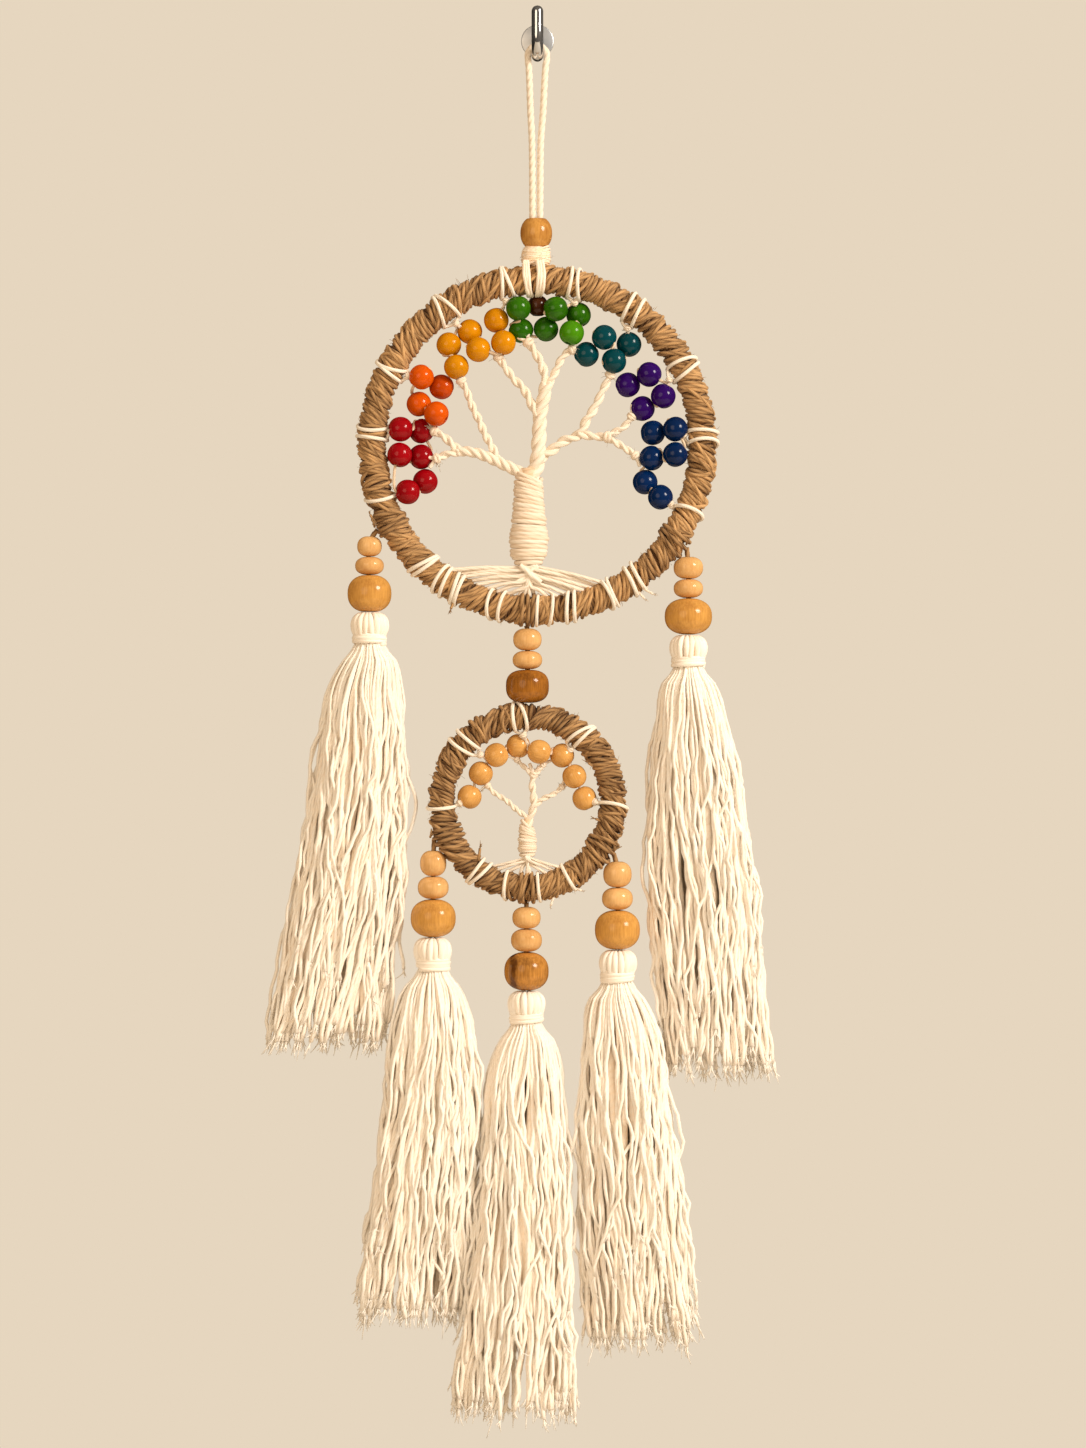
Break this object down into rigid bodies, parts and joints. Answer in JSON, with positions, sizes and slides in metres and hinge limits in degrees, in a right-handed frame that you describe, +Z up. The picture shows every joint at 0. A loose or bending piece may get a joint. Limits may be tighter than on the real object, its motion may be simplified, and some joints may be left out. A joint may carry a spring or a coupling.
{
  "type": "dreamcatcher on a wall hook",
  "caption": "Wall-hung dreamcatcher: jute-wrapped hoops with corded tree-of-life webs, strung wooden beads, bead stacks and long cotton tassels, on a cord loop over a wall hook.",
  "frame": {"origin": "centre of the hook rosette's flat back, on the wall", "axes": "+Z up, +Y into the wall, +X to the right of a viewer who faces the wall"},
  "size_m": [0.2208, 0.0436, 0.6059],
  "materials": {
    "hook_steel": "polished chrome-plated steel",
    "cotton_cord": "twisted natural cotton cord",
    "cotton_yarn": "loose natural cotton yarn",
    "jute_twine": "rough jute twine",
    "bead_light_wood": "clear lacquer on pale wood",
    "bead_honey_wood": "clear lacquer on honey-coloured wood",
    "bead_dark_wood": "clear lacquer on brown wood",
    "bead_red": "glossy red lacquer on wood",
    "bead_orange": "glossy orange lacquer on wood",
    "bead_yellow": "glossy yellow lacquer on wood",
    "bead_green": "glossy green lacquer on wood",
    "bead_teal": "glossy teal lacquer on wood",
    "bead_purple": "glossy purple lacquer on wood",
    "bead_blue": "glossy blue lacquer on wood"
  },
  "bodies": {
    "root": {"hook_rosette": "hook_steel", "hook_bar": "hook_steel", "hanging_loop": "cotton_cord", "top_bead": "bead_light_wood", "top_knot": "cotton_cord", "hoop_large": "jute_twine", "hoop_small": "jute_twine", "tree_large": "cotton_cord", "tree_small": "cotton_cord", "beads_red": "bead_red", "beads_orange": "bead_orange", "beads_yellow": "bead_yellow", "beads_green": "bead_green", "beads_teal": "bead_teal", "beads_purple": "bead_purple", "beads_blue": "bead_blue", "beads_natural": "bead_honey_wood", "bead_left_1": "bead_light_wood", "bead_left_2": "bead_light_wood", "bead_left_3": "bead_honey_wood", "cord_left": "jute_twine", "tassel_left": "cotton_yarn", "binding_left": "cotton_cord", "bead_middle_1": "bead_light_wood", "bead_middle_2": "bead_light_wood", "bead_middle_3": "bead_dark_wood", "cord_middle": "jute_twine", "bead_right_1": "bead_light_wood", "bead_right_2": "bead_light_wood", "bead_right_3": "bead_honey_wood", "cord_right": "jute_twine", "tassel_right": "cotton_yarn", "binding_right": "cotton_cord", "bead_lower_left_1": "bead_light_wood", "bead_lower_left_2": "bead_light_wood", "bead_lower_left_3": "bead_honey_wood", "cord_lower_left": "jute_twine", "tassel_lower_left": "cotton_yarn", "binding_lower_left": "cotton_cord", "bead_lower_middle_1": "bead_light_wood", "bead_lower_middle_2": "bead_light_wood", "bead_lower_middle_3": "bead_honey_wood", "cord_lower_middle": "jute_twine", "tassel_lower_middle": "cotton_yarn", "binding_lower_middle": "cotton_cord", "bead_lower_right_1": "bead_light_wood", "bead_lower_right_2": "bead_light_wood", "bead_lower_right_3": "bead_honey_wood", "cord_lower_right": "jute_twine", "tassel_lower_right": "cotton_yarn", "binding_lower_right": "cotton_cord"}
  },
  "joints": []
}
